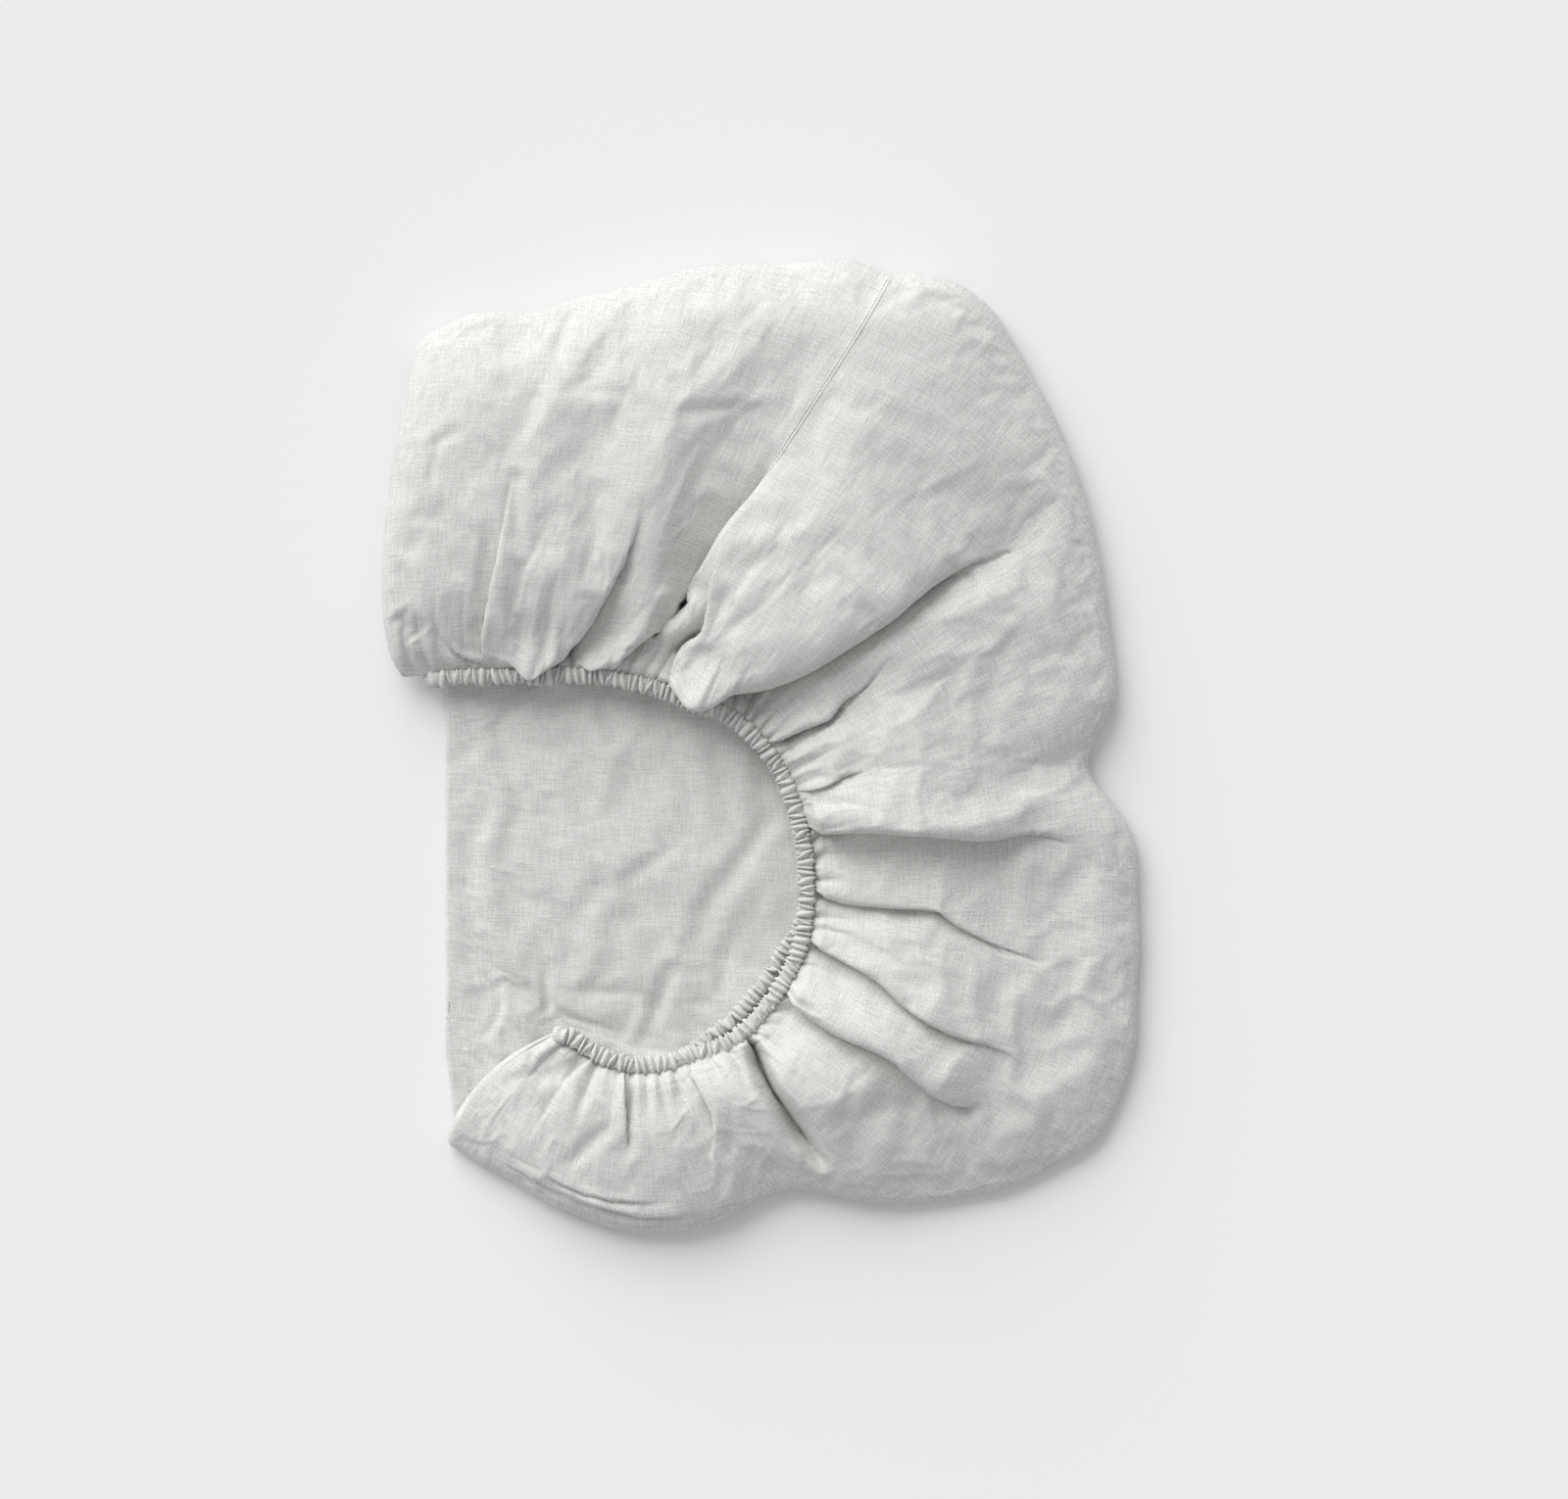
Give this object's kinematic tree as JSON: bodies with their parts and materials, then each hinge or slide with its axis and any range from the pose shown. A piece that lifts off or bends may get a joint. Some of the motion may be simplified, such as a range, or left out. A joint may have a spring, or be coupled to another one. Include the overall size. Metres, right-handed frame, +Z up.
{
  "type": "crumpled fitted sheet",
  "caption": "Linen fitted sheet folded in half into a loose bundle, its gathered walls puffed round a C-shaped elastic mouth that shows the flat panel inside.",
  "frame": {"origin": "centre of the bundle's bounding box, on the surface it lies on", "axes": "+Z up, out of the mouth; +Y along the panel's straight fold, towards the taller arm; +X away from that fold"},
  "size_m": [0.4668, 0.5965, 0.0662],
  "materials": {
    "linen": "washed plain-weave linen, matt, pale neutral grey"
  },
  "bodies": {
    "root": {"fitted_sheet": "linen"}
  },
  "joints": []
}
